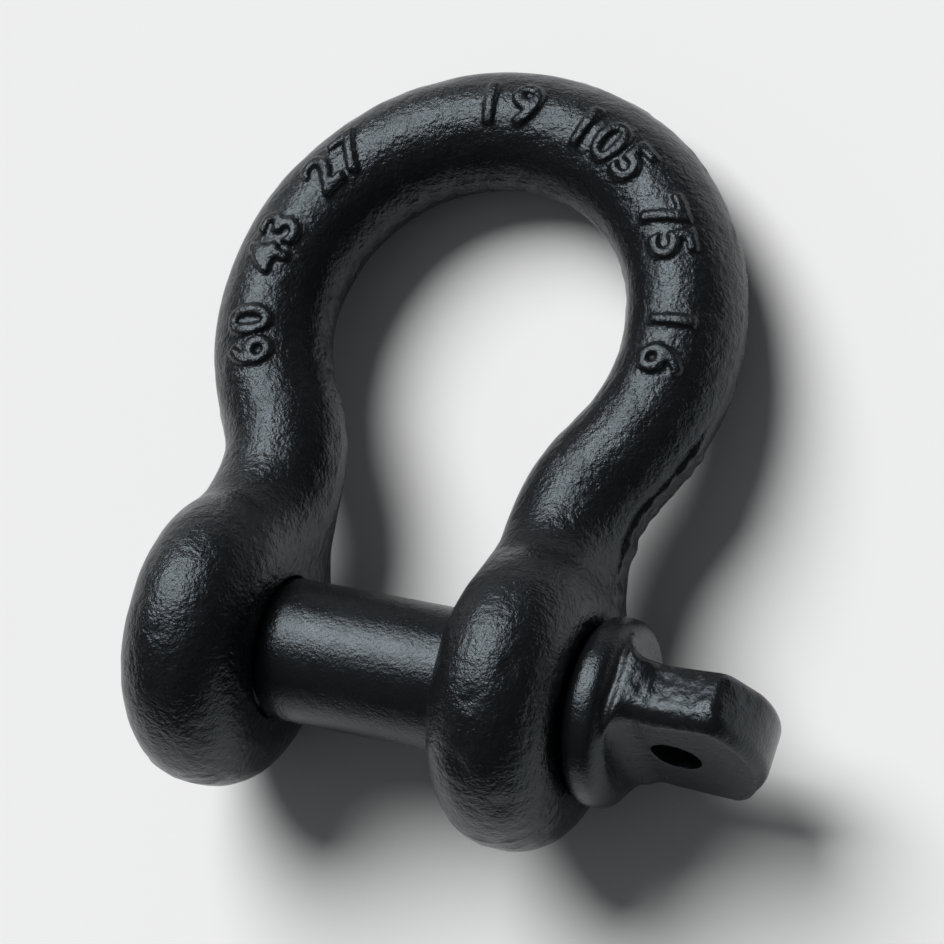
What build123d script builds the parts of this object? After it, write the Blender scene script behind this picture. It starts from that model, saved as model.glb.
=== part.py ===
# Bow shackle with a screw pin: one forged bow and one forged pin, lying on the floor on its ears and crown.
# Millimetres. The origin is on the pin's axis, midway between the ears. +X runs along the pin towards its
# head, +Y from the pin towards the bow's crown, and +Z is up. The floor is at z = -ear_diameter / 2.

import os
from math import acos, asin, cos, degrees, radians, sin, sqrt

from build123d import *

# Bow
bar_diameter = 16.2         # round bar of the bow
bow_inside_width = 42.5     # widest clear width inside the bow
inside_length = 60.4        # clear length from the pin to the crown
jaw_width = 27.0            # clear width between the ears
shoulder_radius = 19.0      # bend that turns each leg back towards the jaw, at the bar's centre
leg_inset = 0.7             # the legs stand this far nearer the middle than the ears
neck_thickness = 16.8       # each leg in the bow's plane, just above its ear
neck_radius = 15.5          # hollow curve across the bow's plane, where the leg spreads into the ear
ear_diameter = 40.4
ear_thickness = 17.0
ear_rim_radius = 8.0        # rounding round the ears
ear_edge_break = 0.7        # chamfer at the mouths of both bores
root_inset = 0.6            # how far each leg's root lies inside its ear's faces
slab_ratio = 0.8            # a leg is a full slab once it is wider than thick by this share
slab_side_reach = 0.2       # a slab's sides then run on towards its edges by this share of the bar's radius
slab_edge_reach = 0.15      # and its edges are blunter by this share of half its thickness

# Screw pin
pin_diameter = 19.05
pin_play = 0.9              # radial gap in the plain ear
thread_depth = 1.56
thread_gap = 0.1            # radial gap between the pin's thread and the tapped ear, both drawn plain
shank_gap = 0.3             # the plain shank ends this far from the tapped ear
pin_end_inset = 0.4         # the pin's end lies this far inside the tapped ear's outer face
pin_end_chamfer = 1.4

# Head of the pin
collar_gap = 0.15           # the collar stops this far from the plain ear
collar_diameter = 24.8
collar_thickness = 5.8
collar_rim_radius = 2.4
lug_length = 13.9           # from the collar to the corners of the lug's end
lug_bulge = 4.9             # how far the rounded end stands out past those corners
lug_end_width = 22.8
lug_neck_width = 20.4       # at its narrowest, near the collar
lug_flare_length = 4.4      # hollow curve from the neck out to the collar
lug_root_width = 23.2       # where that curve meets the collar
lug_thickness = 8.6
lug_root_radius = 3.4       # fillet where the flats run out into the collar
lug_upper_radius = 2.9      # rounding along the near flat's upper edge
lug_end_radius = 2.3        # rounding along the near flat's end
lug_lower_radius = 0.5      # rounding along the near flat's lower edge
lug_far_radius = 1.5        # rounding all round the far flat
lug_hole_diameter = 6.8
lug_hole_from_collar = 7.2
lug_turn = 82.0             # degrees that the lug's width is turned out of the bow's plane

# Sizes that follow
bar_r = bar_diameter / 2
ear_r = ear_diameter / 2
pin_r = pin_diameter / 2
arc_r = bow_inside_width / 2 + bar_r                    # the bow's round part, at the bar's centre
crown_y = inside_length + pin_r + bar_r                 # the crown, at the bar's centre
arc_y = crown_y - arc_r
ear_x = jaw_width / 2 + ear_thickness / 2               # each ear's middle
leg_x = ear_x - leg_inset
leg_root_y = ear_r * 0.4                                # the legs end here, inside the ears
round_handle = 0.5523                                   # handles of a curve that is a quarter circle
ear_face_x = jaw_width / 2 + ear_thickness              # each ear's outer face
plain_bore_r = pin_r + pin_play
thread_r = pin_r - thread_depth / 2                     # the thread's middle
tapped_bore_r = thread_r + thread_gap
collar_x = ear_face_x + collar_gap
collar_r = collar_diameter / 2
lay_angle = degrees(asin((ear_r - bar_r) / crown_y))    # the crown drops until it rests on the floor

# The bend of the shoulder touches both the round part and the straight leg.
bend_angle = degrees(acos((leg_x + shoulder_radius) / (arc_r + shoulder_radius)))
bend_y = arc_y - (arc_r + shoulder_radius) * sin(radians(bend_angle))


def half_width_at(y):
    """Half the leg's width across the bow's plane: the bar, then a hollow curve that runs into the ear."""
    root_r = ear_r - root_inset
    flare_top = sqrt((root_r + neck_radius) ** 2 - (bar_r + neck_radius) ** 2)
    flare_foot = flare_top * root_r / (root_r + neck_radius)
    if y >= flare_top:
        return bar_r
    if y >= flare_foot:
        return bar_r + neck_radius - sqrt(neck_radius ** 2 - (flare_top - y) ** 2)
    return sqrt(root_r ** 2 - y ** 2)


def bar_section(x, y, outwards):
    """Section of the bar at a point of its centreline: round, and near the ear a slab with rounded edges."""
    angle = radians(outwards)
    below_bend = min(max((bend_y + shoulder_radius - y) / shoulder_radius, 0), 1)
    in_ear = min(max((ear_r - y) / (ear_r - leg_root_y), 0), 1)
    half_thickness = bar_r + (neck_thickness / 2 - bar_r) * below_bend
    half_thickness += (ear_thickness / 2 - root_inset - half_thickness) * in_ear
    if x < 0:
        in_ear = -in_ear
    plane = Plane(origin=(x + leg_inset * in_ear, y, 0), x_dir=(cos(angle), sin(angle), 0),
                  z_dir=(sin(angle), -cos(angle), 0))
    return plane * slab_face(half_thickness, half_width_at(y))


def slab_face(half_thickness, half_width):
    """Four curves: a circle where both sizes are alike, and a flat-sided slab where it is much wider."""
    flatness = min(max((half_width / half_thickness - 1) / slab_ratio, 0), 1)
    side_pull = half_width - bar_r * (1 - round_handle - slab_side_reach * flatness)
    edge_pull = half_thickness * (round_handle + slab_edge_reach * flatness)
    curves = []
    for right, up in ((1, 1), (-1, 1), (-1, -1), (1, -1)):
        side = (right * half_thickness, 0)
        edge = (0, up * half_width)
        curves.append(Bezier(side, (side[0], up * side_pull), (right * edge_pull, edge[1]), edge))
    return make_face(curves)


def centreline():
    """Points of the bar's centreline from the crown down the right side, each with its outward angle."""
    points = []
    for i in range(12):
        angle = 90 - (90 + bend_angle) * i / 12
        points.append((arc_r * cos(radians(angle)), arc_y + arc_r * sin(radians(angle)), angle))
    for i in range(7):
        angle = -bend_angle * (1 - i / 7)
        x = leg_x + shoulder_radius * (1 - cos(radians(angle)))
        y = bend_y - shoulder_radius * sin(radians(angle))
        points.append((x, y, angle))
    for i in range(8):
        points.append((leg_x, bend_y + (leg_root_y - bend_y) * i / 7, 0))
    return points


def make_bar():
    """The bent bar: sections set along the centreline from one ear round the crown to the other."""
    right = centreline()
    left = [(-x, y, 180 - angle) for x, y, angle in right[:0:-1]]
    return loft([bar_section(*point) for point in left + right])


def make_ear():
    """Right ear: a thick disc with a well-rounded rim."""
    ear = Plane.YZ.offset(ear_x) * Cylinder(ear_r, ear_thickness)
    return fillet(ear.edges().filter_by(GeomType.CIRCLE), ear_rim_radius)


def make_bow():
    """The forging: the bar and its two ears, one bored plain and the other bored for the thread."""
    ear = make_ear()
    bow = make_bar() + ear + mirror(ear, Plane.YZ)
    bores = ((ear_x, plain_bore_r), (-ear_x, tapped_bore_r))
    for x, radius in bores:
        bow -= Plane.YZ.offset(x) * Cylinder(radius, ear_thickness * 2)
        for face_x in (x - ear_thickness / 2, x + ear_thickness / 2):
            bow -= mouth_cone(x, face_x, radius)
    return bow


def mouth_cone(ear_x, face_x, radius):
    """Cutter for the chamfer where a bore meets one face of its ear."""
    outwards = 1 if face_x > ear_x else -1
    wide = radius + 2 * ear_edge_break
    start = Plane(origin=(face_x - outwards * ear_edge_break, 0, 0), z_dir=(outwards, 0, 0))
    return start * Cone(radius, wide, 2 * ear_edge_break, align=(Align.CENTER, Align.CENTER, Align.MIN))


def make_shank():
    """Plain shank with the threaded end, turned round the X axis."""
    end_x = -ear_face_x + pin_end_inset
    thread_x = -jaw_width / 2 + shank_gap
    in_collar_x = collar_x + collar_thickness / 2
    step = pin_r - thread_r
    with BuildSketch(Plane.XY) as half_profile:
        with BuildLine():
            Polyline((end_x, 0), (end_x, thread_r - pin_end_chamfer), (end_x + pin_end_chamfer, thread_r),
                     (thread_x - step, thread_r), (thread_x, pin_r), (in_collar_x, pin_r), (in_collar_x, 0),
                     close=True)
        make_face()
    return revolve(half_profile.sketch, Axis.X)


def lug_outline(start_x, face_x):
    """The lug seen on its flats, from inside the collar round its bulging end."""
    edge_x = face_x + lug_length
    neck = Vector(face_x + lug_flare_length, lug_neck_width / 2)
    corner = Vector(edge_x, lug_end_width / 2)
    with BuildSketch(Plane.XY) as outline:
        with BuildLine():
            Polyline((start_x, 0), (start_x, lug_root_width / 2), (face_x, lug_root_width / 2))
            TangentArc(neck, Vector(face_x, lug_root_width / 2), tangent=neck - corner)
            Line(neck, corner)
            mirror(about=Plane.XZ)
            ThreePointArc(corner, (edge_x + lug_bulge, 0), (corner.X, -corner.Y))
        make_face()
    return outline.sketch


def lug_side(start_x, face_x):
    """The lug seen edge on: an even thickness that spreads into the collar."""
    half = lug_thickness / 2
    spread = half + lug_root_radius
    end_x = face_x + lug_length + lug_bulge + 1
    with BuildSketch(Plane.XZ) as side:
        with BuildLine():
            Polyline((start_x, 0), (start_x, spread), (face_x, spread))
            RadiusArc((face_x, spread), (face_x + lug_root_radius, half), -lug_root_radius)
            Polyline((face_x + lug_root_radius, half), (end_x, half), (end_x, 0), (start_x, 0))
        make_face()
    return side.sketch + mirror(side.sketch, Plane.XY)


def flat_edges(lug, side, chosen):
    """Chosen edges round one flat, beyond the collar; side is 1 for the lug's near flat and -1 for its far one."""
    face_x = collar_x + collar_thickness
    beyond = lug.edges().filter_by_position(Axis.X, face_x, ear_face_x * 3, (False, True))
    beyond = beyond - lug.edges().filter_by(Axis.Y) - lug.edges().filter_by(Axis.Z)
    return [edge for edge in beyond if edge.center().Z * side > 0 and chosen(edge.center())]


def round_lug(lug):
    """Round the edges of both flats; the trimmed lower edge of the near one stays almost sharp."""
    corner_x = collar_x + collar_thickness + lug_length
    lug = fillet(flat_edges(lug, 1, lambda place: place.X < corner_x and place.Y > 0), lug_upper_radius)
    lug = fillet(flat_edges(lug, 1, lambda place: place.X > corner_x), lug_end_radius)
    lug = fillet(flat_edges(lug, 1, lambda place: place.X < corner_x and place.Y < 0), lug_lower_radius)
    return fillet(flat_edges(lug, -1, lambda place: True), lug_far_radius)


def make_lug():
    """Flattened eye: an outline and an edge view crossed, rounded, kept inside the blank and bored."""
    face_x = collar_x + collar_thickness
    start_x = collar_x + collar_thickness / 2
    lug = extrude(lug_outline(start_x, face_x), collar_r, both=True)
    lug &= extrude(lug_side(start_x, face_x), lug_end_width, both=True)
    lug = round_lug(lug)
    blank_length = 2 * (collar_thickness + lug_length + lug_bulge)
    lug &= Plane.YZ.offset(face_x) * Cylinder(lug_root_width / 2, blank_length)
    lug -= Pos(face_x + lug_hole_from_collar, 0, 0) * Cylinder(lug_hole_diameter / 2, collar_diameter)
    return Rot(lug_turn, 0, 0) * lug


def make_collar():
    collar = Plane.YZ.offset(collar_x + collar_thickness / 2) * Cylinder(collar_r, collar_thickness)
    return fillet(collar.edges().filter_by(GeomType.CIRCLE), collar_rim_radius)


def make_pin():
    return make_shank() + make_collar() + make_lug()


os.makedirs("parts", exist_ok=True)
lay_flat = Rot(-lay_angle, 0, 0)
export_step(lay_flat * make_bow(), "parts/bow.step")
export_step(lay_flat * make_pin(), "parts/screw_pin.step")
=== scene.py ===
# %% [markdown]
# # A bow shackle under black enamel
# This lesson dresses a measured model of a screw pin bow shackle, the kind that joins a chain or a sling to a
# load. Two forgings make it: a round bar bent into a bow, with an ear at each end, and a pin that screws
# through both ears. The measured model gives every size and place, so here the work is on what a forge and a
# paint shop leave behind: raised figures, a line of trimmed flash, dents, a thread and a skin of semi-gloss
# enamel.

# %% Load the measured model
from math import asin, atan2, copysign, cos, exp, hypot, pi, radians, sin

import bmesh
import bpy
from mathutils import Matrix, Vector, noise


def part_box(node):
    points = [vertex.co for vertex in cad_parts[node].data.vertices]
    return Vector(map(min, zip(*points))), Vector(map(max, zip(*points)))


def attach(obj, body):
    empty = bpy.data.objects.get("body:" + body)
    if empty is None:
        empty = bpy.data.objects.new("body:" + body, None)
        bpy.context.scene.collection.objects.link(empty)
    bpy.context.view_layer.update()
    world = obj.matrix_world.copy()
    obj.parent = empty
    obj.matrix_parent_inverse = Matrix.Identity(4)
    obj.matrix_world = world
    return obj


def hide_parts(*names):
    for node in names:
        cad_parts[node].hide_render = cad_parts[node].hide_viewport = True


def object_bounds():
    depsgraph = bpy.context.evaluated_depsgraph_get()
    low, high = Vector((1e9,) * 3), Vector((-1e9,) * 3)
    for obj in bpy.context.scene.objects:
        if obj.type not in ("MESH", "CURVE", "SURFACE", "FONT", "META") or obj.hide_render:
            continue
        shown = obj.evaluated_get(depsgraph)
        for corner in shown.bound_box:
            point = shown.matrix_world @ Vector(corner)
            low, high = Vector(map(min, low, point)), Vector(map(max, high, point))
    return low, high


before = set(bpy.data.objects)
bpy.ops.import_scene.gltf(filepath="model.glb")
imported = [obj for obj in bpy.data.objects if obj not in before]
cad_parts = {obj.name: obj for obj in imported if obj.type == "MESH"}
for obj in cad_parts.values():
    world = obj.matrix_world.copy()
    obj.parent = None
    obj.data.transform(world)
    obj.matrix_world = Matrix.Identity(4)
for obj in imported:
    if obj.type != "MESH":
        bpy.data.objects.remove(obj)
cad_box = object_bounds()
MM = 0.001
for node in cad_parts:
    low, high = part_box(node)
    print(node, "spans", [round(side / MM, 1) for side in high - low], "mm")

# %% [markdown]
# ## The camera
# The photograph looks down on the shackle with a long lens from about half a metre, with the pin nearest the
# viewer. The camera could be steered by eye, but the outline of the shackle fixes it: three small turns, a
# shift of the shackle in the view and the distance were found from the outline, and stay as plain numbers.

# %% Camera at the photograph's viewing angle
TURN_X, TURN_Y, TURN_Z = -0.1395, -0.3878, -0.1726
SHIFT_RIGHT, SHIFT_UP, DISTANCE = -12.5555 * MM, -25.5361 * MM, 494.963 * MM
SENSOR_WIDTH = 36
FOCAL_SHARE = 3756.754 / 944

view_turn = (Matrix.Rotation(TURN_Z, 3, "Z") @ Matrix.Rotation(TURN_Y, 3, "Y")
             @ Matrix.Rotation(TURN_X, 3, "X"))
camera = bpy.data.objects.new("camera", bpy.data.cameras.new("camera"))
bpy.context.scene.collection.objects.link(camera)
camera.data.sensor_width = SENSOR_WIDTH
camera.data.lens = SENSOR_WIDTH * FOCAL_SHARE
camera.data.clip_start, camera.data.clip_end = 0.05, 50
place = view_turn.transposed() @ Vector((-SHIFT_RIGHT, -SHIFT_UP, DISTANCE))
camera.matrix_world = Matrix.Translation(place) @ view_turn.transposed().to_4x4()
bpy.context.scene.camera = camera
print("camera at", [round(x, 3) for x in place], "m, lens", round(camera.data.lens, 1), "mm")

# %% [markdown]
# ## Floor and light
# Black enamel shows little colour of its own. What the eye reads is the reflection: one broad soft lamp high
# behind the left shoulder of the bow, a faint glow from the ceiling, a pale floor below, and a dim room
# everywhere else. Sun lamps with wide discs stand in for the soft lamp and the ceiling, because they light the
# floor evenly out to its edge.

# %% Floor, two lamps and the dim room
FLOOR_Z = cad_box[0].z


def plain_material(name, color, roughness):
    """A material of one colour; roughness 1 is matt and 0 is a mirror."""
    material = bpy.data.materials.new(name)
    material.use_nodes = True
    shader = material.node_tree.nodes["Principled BSDF"]
    shader.inputs["Base Color"].default_value = (*color, 1)
    shader.inputs["Roughness"].default_value = roughness
    return material


def add_mesh(name, bm, *materials):
    """Turn a bmesh into an object of the scene."""
    mesh = bpy.data.meshes.new(name)
    bm.to_mesh(mesh)
    bm.free()
    for material in materials:
        mesh.materials.append(material)
    made = bpy.data.objects.new(name, mesh)
    bpy.context.scene.collection.objects.link(made)
    return made


bm = bmesh.new()
bmesh.ops.create_circle(bm, cap_ends=True, segments=96, radius=6)
bmesh.ops.translate(bm, verts=bm.verts, vec=(0, 0, FLOOR_Z))
floor = add_mesh("floor", bm, plain_material("floor_paper", (0.9, 0.9, 0.9), 0.9))


def add_lamp(name, azimuth, height, energy, width):
    """A soft lamp as a wide disc in the sky; azimuth 0 is along X and 90 along Y, all in degrees."""
    lamp = bpy.data.objects.new(name, bpy.data.lights.new(name, "SUN"))
    bpy.context.scene.collection.objects.link(lamp)
    level = cos(radians(height))
    towards = Vector((cos(radians(azimuth)) * level, sin(radians(azimuth)) * level, sin(radians(height))))
    lamp.rotation_euler = towards.to_track_quat("Z", "Y").to_euler()
    lamp.data.energy = energy
    lamp.data.angle = radians(width)


add_lamp("soft_lamp", 134, 52, 3.4, 40)
add_lamp("ceiling_glow", 165, 72, 0.14, 110)

world = bpy.data.worlds.new("dim_room")
bpy.context.scene.world = world
world.use_nodes = True
world.node_tree.nodes["Background"].inputs["Color"].default_value = (0.92, 0.96, 1, 1)
world.node_tree.nodes["Background"].inputs["Strength"].default_value = 0.055
bpy.context.scene.view_settings.view_transform = "Standard"
print("floor at", round(FLOOR_Z / MM, 2), "mm, under two lamps")

# %% [markdown]
# ## The enamel
# The shackle was dipped in black enamel over a forged skin. The film levels out the finest grit but follows
# the forging, so the surface is a fine orange peel with a pit here and there. A picture could carry that, but
# layered noise has no seams and works at any distance: one noise for the peel, a coarser one for the forged
# skin, and round cells for the pits. They only tilt the light, so they break up the highlights and leave the
# outline alone.

# %% Black enamel
ENAMEL_COLOR = (0.0064, 0.0071, 0.0083)
SKIN_SIZE, PIT_SIZE, WEAR_SIZE = 850, 520, 240
PIT_DEPTH, PIT_STRENGTH = 0.04 * MM, 0.35
GLOSSY, DULL = 0.18, 0.32


def noise_layer(nodes, place, scale, detail, roughness):
    """A noise over the object's own coordinates; scale is in features per metre."""
    layer = nodes.new("ShaderNodeTexNoise")
    layer.inputs["Scale"].default_value = scale
    layer.inputs["Detail"].default_value = detail
    layer.inputs["Roughness"].default_value = roughness
    place.id_data.links.new(place.outputs["Object"], layer.inputs["Vector"])
    return layer


def bump_over(nodes, height, depth, strength, below=None):
    """A bump layer of some depth in metres, laid over another one."""
    bump = nodes.new("ShaderNodeBump")
    bump.inputs["Distance"].default_value = depth
    bump.inputs["Strength"].default_value = strength
    nodes.id_data.links.new(height, bump.inputs["Height"])
    if below:
        nodes.id_data.links.new(below.outputs["Normal"], bump.inputs["Normal"])
    return bump


def make_enamel(name, peel_size, peel_depth, skin_depth):
    """Semi-gloss black enamel; all sizes are in bumps per metre, and the depths are in metres."""
    material = plain_material(name, ENAMEL_COLOR, 0.33)
    nodes, links = material.node_tree.nodes, material.node_tree.links
    shader = nodes["Principled BSDF"]
    shader.inputs["Specular IOR Level"].default_value = 0.42
    shader.inputs["Specular Tint"].default_value = (0.8, 0.92, 1, 1)
    place = nodes.new("ShaderNodeTexCoord")
    skin = noise_layer(nodes, place, SKIN_SIZE, 2, 0.5)
    peel = noise_layer(nodes, place, peel_size, 3, 0.6)
    pits = nodes.new("ShaderNodeTexVoronoi")
    pits.inputs["Scale"].default_value = PIT_SIZE
    links.new(place.outputs["Object"], pits.inputs["Vector"])
    pit_depth = nodes.new("ShaderNodeMapRange")
    pit_depth.inputs["From Min"].default_value = 0.04
    pit_depth.inputs["From Max"].default_value = 0.17
    links.new(pits.outputs["Distance"], pit_depth.inputs["Value"])
    pitted = bump_over(nodes, pit_depth.outputs["Result"], PIT_DEPTH, PIT_STRENGTH)
    forged = bump_over(nodes, skin.outputs["Fac"], skin_depth, 1, pitted)
    peeled = bump_over(nodes, peel.outputs["Fac"], peel_depth, 1, forged)
    links.new(peeled.outputs["Normal"], shader.inputs["Normal"])
    wear = noise_layer(nodes, place, WEAR_SIZE, 4, 0.6)
    gloss = nodes.new("ShaderNodeMapRange")
    gloss.inputs["From Min"].default_value = 0.3
    gloss.inputs["From Max"].default_value = 0.7
    gloss.inputs["To Min"].default_value = GLOSSY
    gloss.inputs["To Max"].default_value = DULL
    links.new(wear.outputs["Fac"], gloss.inputs["Value"])
    links.new(gloss.outputs["Result"], shader.inputs["Roughness"])
    return material


forged_enamel = make_enamel("black_enamel_on_forging", 2250, 0.125 * MM, 0.21 * MM)
turned_enamel = make_enamel("black_enamel_on_pin", 2700, 0.085 * MM, 0.08 * MM)
print("enamels:", forged_enamel.name, "and", turned_enamel.name)

# %% [markdown]
# ## The bow
# A forge heats a bar, bends it and presses it between two dies. The joint between the dies leaves a line of
# flash that is trimmed off, the dies leave raised figures, and scale leaves shallow dents. The bow could be
# drawn freely, but its measured copy is already right, so it gets a new skin of small even cells, soft where
# the legs run into the ears, and that skin is then pushed in and out.

# %% A copy of the bow in its own upright frame
BAR_R, EAR_R = 8.1 * MM, 20.2 * MM
ARC_R, ARC_Y = 29.35 * MM, 48.675 * MM
LAY = asin((EAR_R - BAR_R) / (ARC_Y + ARC_R))
lay_flat = Matrix.Rotation(-LAY, 4, "X")


def merged_copy(node, name):
    """A copy of a measured node with its loose triangles joined."""
    bm = bmesh.new()
    bm.from_mesh(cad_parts[node].data)
    bmesh.ops.remove_doubles(bm, verts=bm.verts, dist=0.001 * MM)
    return add_mesh(name, bm)


def made_real(piece):
    """Replace a piece's mesh by what its modifiers make of it."""
    graph = bpy.context.evaluated_depsgraph_get()
    finished = bpy.data.meshes.new_from_object(piece.evaluated_get(graph))
    piece.modifiers.clear()
    piece.data = finished


def reskin(piece, cell):
    """Draw one closed skin of even cells round everything in the piece."""
    skin = piece.modifiers.new("skin", "REMESH")
    skin.mode = "VOXEL"
    skin.voxel_size = cell
    skin.use_smooth_shade = True
    made_real(piece)
    print(piece.name, "skin of", len(piece.data.polygons), "cells")


bow = merged_copy("bow", "bow_forging")
bow.data.transform(lay_flat.inverted())
reskin(bow, 0.4 * MM)

# %% Soften the roots of the legs
PIN_CLEAR = 13 * MM
ROOT_FROM, ROOT_TO = -4 * MM, 34 * MM


def smooth(bm, verts, rounds):
    """Move points halfway to the middle of their neighbours, some rounds over."""
    for _ in range(rounds):
        bmesh.ops.smooth_vert(bm, verts=verts, factor=0.5, use_axis_x=True, use_axis_y=True, use_axis_z=True)


def soften(piece, inside, rounds):
    """Smooth the part of a mesh for which inside(point) holds."""
    bm = bmesh.new()
    bm.from_mesh(piece.data)
    chosen = [v for v in bm.verts if inside(v.co)]
    smooth(bm, chosen, rounds)
    bm.to_mesh(piece.data)
    bm.free()
    print(piece.name, "softened", len(chosen), "points")


def at_leg_root(co):
    """Whether a point lies where a leg runs into its ear, away from the pin's hole."""
    return hypot(co.y, co.z) > PIN_CLEAR and ROOT_FROM < co.y < ROOT_TO


def fill_hollows(piece, inside, passes, rounds):
    """Smooth a mesh outwards only, as a die's fillet does: hollows fill up and ridges stay."""
    bm = bmesh.new()
    bm.from_mesh(piece.data)
    chosen = [v for v in bm.verts if inside(v.co)]
    for _ in range(passes):
        bm.normal_update()
        kept = [(v.co.copy(), v.normal.copy()) for v in chosen]
        smooth(bm, chosen, rounds)
        for vertex, (old_place, outwards) in zip(chosen, kept):
            if (vertex.co - old_place).dot(outwards) < 0:
                vertex.co = old_place
    bm.to_mesh(piece.data)
    bm.free()
    print(piece.name, "filled round", len(chosen), "points")


fill_hollows(bow, at_leg_root, 7, 25)
soften(bow, at_leg_root, 12)

# %% [markdown]
# ## Raised figures
# One die has figures cut into it, and the hot steel fills them. Here they are plain numbers, the shackle's own
# sizes in millimetres. They could be a bump in the enamel, but they stand too high for that, so each is drawn
# flat as text, given a skin of small cells, and bent round the bow and round its bar at once: its width
# follows the bow's arc and its height goes over the bar.

# %% Figures along the bow
FIGURE_HEIGHT = 6.1 * MM
FIGURE_RISE = 0.62 * MM
FIGURE_BODY, FIGURE_BEVEL, HALF_THICK = 0.55 * MM, 0.25 * MM, 0.8 * MM
FIGURE_ROWS = (("60 43 27", 202, 9.0), ("19", 98, 10.0), ("105 75", 70, 8.8), ("16", 5, 11.0))


def flat_figure(sign):
    """One figure as a flat bar-like mesh, centred on the origin."""
    text = bpy.data.curves.new("figure", "FONT")
    text.body = sign
    text.size = FIGURE_HEIGHT / 0.73
    text.align_x = "CENTER"
    text.extrude = FIGURE_BODY
    text.bevel_depth = FIGURE_BEVEL
    text.bevel_resolution = 2
    text.offset = 0.04 * MM
    figure = bpy.data.objects.new("figure", text)
    bpy.context.scene.collection.objects.link(figure)
    graph = bpy.context.evaluated_depsgraph_get()
    mesh = bpy.data.meshes.new_from_object(figure.evaluated_get(graph))
    bpy.data.objects.remove(figure)
    solid = bpy.data.objects.new("figure_" + sign, mesh)
    bpy.context.scene.collection.objects.link(solid)
    reskin(solid, 0.22 * MM)
    return solid


def onto_bar(point, arc_angle):
    """A point of a flat figure bent onto the top of the bow: x runs clockwise, y outwards, z off the bar."""
    over = (point.y - FIGURE_HEIGHT / 2) / BAR_R + 0.1
    reach = BAR_R + FIGURE_RISE - HALF_THICK + point.z
    radius = ARC_R + reach * sin(over)
    turn = radians(arc_angle) - point.x / ARC_R
    return Vector((radius * cos(turn), ARC_Y + radius * sin(turn), reach * cos(over)))


bm = bmesh.new()
bm.from_mesh(bow.data)
for row, start, step in FIGURE_ROWS:
    for place, sign in enumerate(row):
        if sign == " ":
            continue
        figure = flat_figure(sign)
        for vertex in figure.data.vertices:
            vertex.co = onto_bar(vertex.co, start - step * place)
        bm.from_mesh(figure.data)
        bpy.data.objects.remove(figure)
bm.to_mesh(bow.data)
bm.free()
reskin(bow, 0.25 * MM)
soften(bow, lambda co: True, 1)

# %% [markdown]
# ## What the forge leaves
# Waves and shallow dents lie all over. A band of trimmed flash runs round the middle plane, and is torn along
# the outside of the right leg. The right ear has four knocks, and the left ear has the pin's thread cut into
# it. The thread could be a piece of its own, but it is cut from the same steel, so it is made as the rest is:
# by moving the points of the skin.

# %% Waves, flash, knocks and the ear's thread
PITCH = 2.54 * MM
THREAD_MINOR, THREAD_MAJOR, MOUTH_R = 8.3 * MM, 9.65 * MM, 9.58 * MM
EAR_X, EAR_HALF = 22 * MM, 8.5 * MM


def thread_share(x, turn):
    """0 at the thread's root on the pin, 1 at its crest, for a place along and round the pin."""
    phase = (x / PITCH - turn / (2 * pi)) % 1
    return min(max(2.3 * (0.5 - abs(phase - 0.5)) * 2 - 0.65, 0), 1)


def waves(co):
    """Slow unevenness of the forging, in metres."""
    slow = noise.noise(co / (9 * MM)) * 0.13 * MM
    dents = min(noise.noise(co / (3.1 * MM) + Vector((7, 3, 5))), 0.15) * 0.11 * MM
    return slow + dents


FLASH_HALF, LIP_WIDTH = 1.35 * MM, 0.3 * MM
TEAR_Z, TEAR_SWAY, TEAR_WIDTH = 1.9 * MM, 0.5 * MM, 0.22 * MM
TORN_X, TORN_FROM, TORN_TO, TORN_FADE = 24 * MM, 13, 42, 5


def worst_torn(co):
    """1 along the torn stretch on the outside of the right leg, and 0 away from it."""
    if co.x <= TORN_X:
        return 0
    along = co.y / MM
    return min(max((along - TORN_FROM) / TORN_FADE, 0), max((TORN_TO - along) / TORN_FADE, 0), 1)


def flash(co, normal):
    """Height of the trimmed flash round the middle plane, in metres; its terms are in millimetres."""
    if abs(normal.z) > 0.75 or hypot(co.y, co.z) < PIN_CLEAR:
        return 0
    torn = noise.noise(Vector((co.x, co.y, 0)) / (2.2 * MM))
    worst = worst_torn(co)
    band = 1 / (1 + (co.z / FLASH_HALF) ** 8)
    lip = 1 / (1 + ((abs(co.z) - FLASH_HALF) / LIP_WIDTH) ** 2)
    tear = exp(-((co.z - TEAR_Z - TEAR_SWAY * torn) / TEAR_WIDTH) ** 2)
    raised = band * (0.05 + 0.06 * torn + worst * (0.22 + 0.5 * torn))
    lipped = lip * (0.35 + 0.65 * worst) * (0.16 + 0.55 * torn)
    return (raised + lipped - tear * worst * (0.24 + 0.1 * torn)) * MM


DENTS = (((26, -17, 9.5), 1.5), ((21.9, -6.5, 19), 1.4), ((25.7, -1.7, 19.5), 1.2), ((20.5, -13.5, 15), 1.4))
DENT_DEPTH = 0.26 * MM


def dents_at(co):
    """How deep the knocks in the right ear are at a point, in metres; each has a middle and a size in mm."""
    depth = 0
    for middle, size in DENTS:
        depth += DENT_DEPTH * exp(-((co / MM - Vector(middle)).length / size) ** 2)
    return depth


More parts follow.
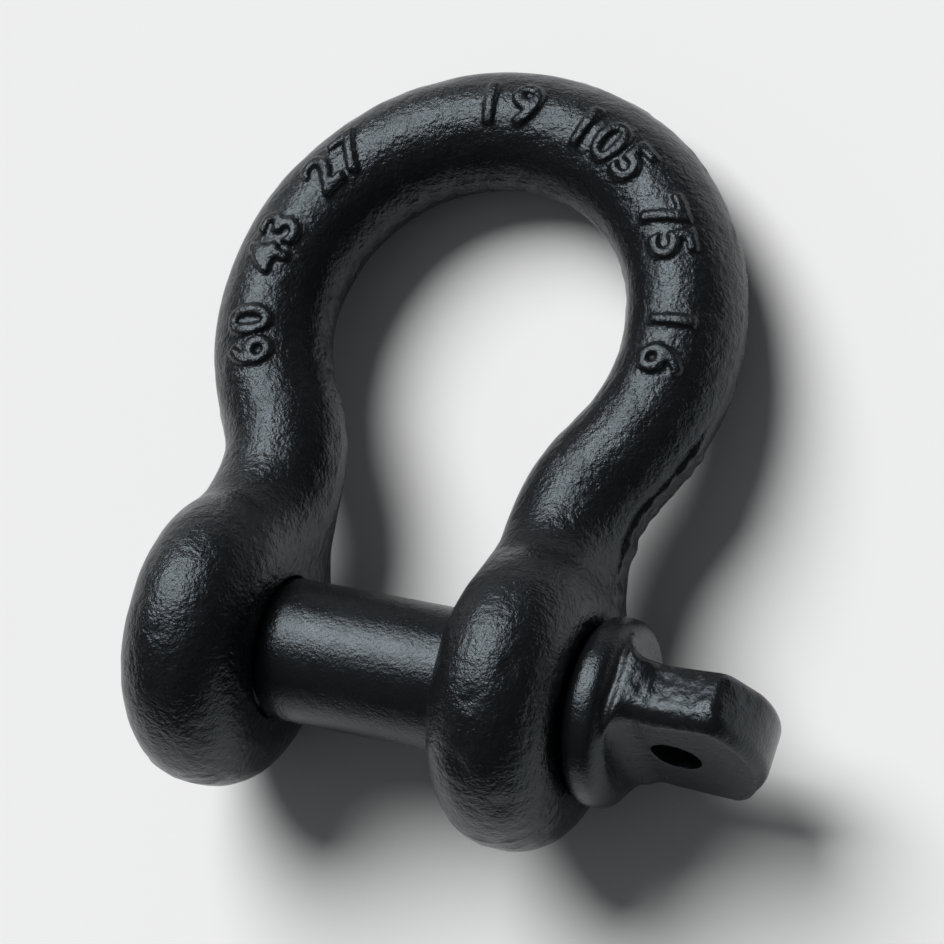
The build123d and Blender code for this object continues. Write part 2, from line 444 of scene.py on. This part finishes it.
def forge(piece):
    """Push the bow's skin in and out."""
    bm = bmesh.new()
    bm.from_mesh(piece.data)
    bm.normal_update()
    for vertex in bm.verts:
        co = vertex.co
        from_axis = hypot(co.y, co.z)
        from_face = EAR_HALF - abs(co.x + EAR_X)
        if from_axis < MOUTH_R and from_face > -0.6 * MM:
            share = thread_share(co.x, atan2(co.z, co.y))
            wanted = max(THREAD_MINOR + (THREAD_MAJOR - THREAD_MINOR) * share, MOUTH_R - max(from_face, 0))
            vertex.co = Vector((co.x, co.y * wanted / from_axis, co.z * wanted / from_axis))
        elif from_axis > 10.6 * MM:
            knocked = dents_at(co) if co.x > 15 * MM and co.y < 3 * MM else 0
            vertex.co = co + vertex.normal * (waves(co) + flash(co, vertex.normal) - knocked)
    bm.to_mesh(piece.data)
    bm.free()


forge(bow)
thin = bow.modifiers.new("thin", "DECIMATE")
thin.ratio = 190000 / (2 * len(bow.data.polygons))
made_real(bow)
bow.data.transform(lay_flat)
bow.data.materials.clear()
bow.data.materials.append(forged_enamel)
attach(bow, "bow")
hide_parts("bow")
print("bow_forging has", len(bow.data.polygons), "faces")

# %% [markdown]
# ## The pin's thread and shank
# A shackle pin is a round blank with a thread cut on its free end. The ridges could be left to a bump, but the
# pin can be drawn right out of the ears, so they are real here, and made as a lathe makes them: the outline of
# one ridge turns round the axis and creeps along it by one pitch a turn. The ends are then cut square.

# %% A thread spun round the axis
PIN_R = 9.525 * MM
PIN_ROOT, PIN_CREST = 7.95 * MM, 9.4 * MM
PIN_END, THREAD_END = -30.1 * MM, -13.2 * MM
RIDGE = ((0, 0), (0.14, 0), (0.18, 0.06), (0.39, 0.94), (0.43, 1),
         (0.57, 1), (0.61, 0.94), (0.82, 0.06), (0.86, 0), (1, 0))
FIRST_PITCH, TURNS, STEPS = -13, 8, 64


def cut_square(bm, x, keep_right):
    """Cut a mesh across the axis and drop one side of it."""
    whole = bm.verts[:] + bm.edges[:] + bm.faces[:]
    bmesh.ops.bisect_plane(bm, geom=whole, dist=0.0005 * MM, plane_co=(x, 0, 0), plane_no=(1, 0, 0),
                           clear_inner=keep_right, clear_outer=not keep_right)


def rim_at(bm, x):
    """The open edges of a mesh at a place along the axis."""
    return [e for e in bm.edges if e.is_boundary and all(abs(v.co.x - x) < 0.01 * MM for v in e.verts)]


def set_radius(vertex, radius):
    """Move a point straight towards or away from the axis."""
    share = radius / hypot(vertex.co.y, vertex.co.z)
    vertex.co.y *= share
    vertex.co.z *= share


shank = bmesh.new()
corners = [shank.verts.new(((FIRST_PITCH + along) * PITCH, PIN_ROOT + (PIN_CREST - PIN_ROOT) * up, 0))
           for along, up in RIDGE]
ridge = [shank.edges.new(pair) for pair in zip(corners, corners[1:])]
bmesh.ops.spin(shank, geom=corners + ridge, cent=(0, 0, 0), axis=(1, 0, 0), dvec=(PITCH / STEPS, 0, 0),
               angle=2 * pi * TURNS, steps=STEPS * TURNS, use_merge=False, use_duplicate=False)
bmesh.ops.remove_doubles(shank, verts=shank.verts, dist=0.002 * MM)
cut_square(shank, PIN_END, True)
cut_square(shank, THREAD_END, False)
print("thread of", len(shank.faces), "faces, ends open along", len(rim_at(shank, PIN_END)), "and",
      len(rim_at(shank, THREAD_END)), "edges")

# %% The thread's two ends
TIP_R = 7.4 * MM
FADE = 0.7 * MM
CHAMFER_ROWS = 6

for row in range(1, CHAMFER_ROWS + 1):
    whole = shank.verts[:] + shank.edges[:] + shank.faces[:]
    bmesh.ops.bisect_plane(shank, geom=whole, dist=0.0005 * MM,
                           plane_co=(PIN_END + 0.35 * MM * row, 0, 0), plane_no=(1, 0, 0))
for vertex in shank.verts:
    radius = min(hypot(vertex.co.y, vertex.co.z), TIP_R + vertex.co.x - PIN_END)
    faded = min(max((vertex.co.x - THREAD_END) / FADE + 1, 0), 1)
    set_radius(vertex, radius + (PIN_CREST - radius) * faded)
tip = bmesh.ops.holes_fill(shank, edges=rim_at(shank, PIN_END))["faces"]
bmesh.ops.inset_region(shank, faces=tip, thickness=0.5 * MM)

# %% The plain shank
SHANK_STEPS = (0.15, 2.4) + 12 * (3,) + (2.65,)

rim, place = rim_at(shank, THREAD_END), THREAD_END
for step in SHANK_STEPS:
    drawn = bmesh.ops.extrude_edge_only(shank, edges=rim)["geom"]
    place += step * MM
    for vertex in (v for v in drawn if isinstance(v, bmesh.types.BMVert)):
        vertex.co.x = place
        set_radius(vertex, PIN_R)
    edges = [part for part in drawn if isinstance(part, bmesh.types.BMEdge)]
    rim = [e for e in edges if e.verts[0].co.x == e.verts[1].co.x]
SHANK_STOP = place
print("plain shank runs to", round(SHANK_STOP / MM, 2), "mm with",
      len(rim_at(shank, SHANK_STOP)), "open edges")

# %% [markdown]
# ## The pin's head
# The head is pressed from the same blank: a collar that seats on the ear, and an eye with two flats. It could
# be modelled anew, but a copy of the measured head under a skin of fine cells keeps its sizes. The press leaves
# the upper edge of the eye full where it leaves the collar, a groove between the two, and a slight crown with
# lumps in it along the edge that the dies don't touch.

# %% A copy of the head in its own upright frame
FACE_X = 36.45 * MM
HEAD_START, HEAD_SEAM = SHANK_STOP - 1 * MM, SHANK_STOP + 0.5 * MM
LUG_TURN = Matrix.Rotation(radians(82), 4, "X")
head = merged_copy("screw_pin", "head_blank")
head.data.transform(LUG_TURN.inverted() @ lay_flat.inverted())
bm = bmesh.new()
bm.from_mesh(head.data)
cut_square(bm, HEAD_START, True)
bmesh.ops.holes_fill(bm, edges=rim_at(bm, HEAD_START))
bm.to_mesh(head.data)
bm.free()
reskin(head, 0.2 * MM)

# %% Press the head
NECK = 10.2 * MM
FULL = 1.3 * MM
FLAT_Z = 4.3 * MM
SHARPEN = 0.07
CORNER = (50.6 * MM, -10.8 * MM)
CORNER_PULL = Vector((0.35 * MM, -0.5 * MM, 0))
TAPER, FLARE_LENGTH, FILL_LENGTH = 0.1263, 4.4, 8
GROOVE_DEPTH, GROOVE_SHIFT, GROOVE_WIDTH = 0.95, 0.1 * MM, 0.8 * MM
CROWN_Z, CROWN_R = 2.4 * MM, 38 * MM


def ramp(value, start, stop):
    """0 before start, 1 after stop, with soft ends."""
    share = min(max((value - start) / (stop - start), 0), 1)
    return share * share * (3 - 2 * share)


def outline_at(x):
    """Half the measured eye's width at a place past its flare."""
    return NECK + TAPER * (x - FACE_X - FLARE_LENGTH * MM)


def filled(co):
    """How many times wider the upper edge of the eye becomes, near the collar."""
    past = (co.x - FACE_X) / (FILL_LENGTH * MM)
    if not 0 < past < 1 or co.y < 0:
        return 1
    flare = max(1 - (past * FILL_LENGTH / FLARE_LENGTH), 0)
    measured = NECK + 1.4 * MM * flare ** 2.2 + max(outline_at(co.x) - NECK, 0)
    return max(1, (NECK + 0.15 * MM + FULL * (1 - past) ** 2) / measured)


def pressed(co):
    """Where a point of the measured head goes: x along the pin, y across the eye, z off its flats."""
    moved = Vector((co.x, co.y * filled(co), co.z))
    radius = hypot(co.y, co.z)
    outer = min(max(radius / MM - 8.4, 0) / 3.6, 1)
    near_side = ramp(co.z, -7 * MM, -1 * MM)
    groove = outer * near_side * GROOVE_DEPTH * MM * exp(-((co.x - FACE_X - GROOVE_SHIFT) / GROOVE_WIDTH) ** 2)
    moved.y *= 1 - groove / max(radius, MM)
    moved.z *= 1 - groove / max(radius, MM)
    past_root = ramp(co.x, FACE_X + 3 * MM, FACE_X + 5 * MM)
    if abs(moved.z) < FLAT_Z:
        widened = min(abs(moved.z) * (1 + SHARPEN * past_root), FLAT_Z)
        moved.z = copysign(widened, moved.z)
    upper = ramp(co.y, 4 * MM, 8.5 * MM) * ramp(co.x, FACE_X, FACE_X + 1 * MM)
    off_flat = ramp(-abs(co.z), -4.2 * MM, -3.4 * MM)
    lumps = noise.noise(co / (1.15 * MM)) * 0.13 * MM + noise.noise(co / (4 * MM)) * 0.15 * MM
    crown = (co.z - CROWN_Z) ** 2 / CROWN_R * past_root
    moved.y += upper * (lumps * off_flat - crown)
    from_corner = hypot(co.x - CORNER[0], co.y - CORNER[1])
    return moved + CORNER_PULL * exp(-(from_corner / (1.7 * MM)) ** 2)


for vertex in head.data.vertices:
    vertex.co = pressed(vertex.co)
soften(head, lambda co: True, 2)
soften(head, lambda co: abs(co.x - FACE_X) < 2.4 * MM and hypot(co.y, co.z) > 8 * MM, 14)
head.data.transform(LUG_TURN)

# %% Join the head to the shank
bm = bmesh.new()
bm.from_mesh(head.data)
cut_square(bm, HEAD_SEAM, True)
bm.to_mesh(head.data)
bm.free()
shank.from_mesh(head.data)
bmesh.ops.bridge_loops(shank, edges=rim_at(shank, SHANK_STOP) + rim_at(shank, HEAD_SEAM))
bmesh.ops.recalc_face_normals(shank, faces=shank.faces)
for face in shank.faces:
    face.smooth = True
bpy.data.objects.remove(head)
pin = add_mesh("pin_forging", shank, turned_enamel)
pin.data.transform(lay_flat)
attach(pin, "pin")
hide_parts("screw_pin")
print("pin_forging has", len(pin.data.polygons), "faces")
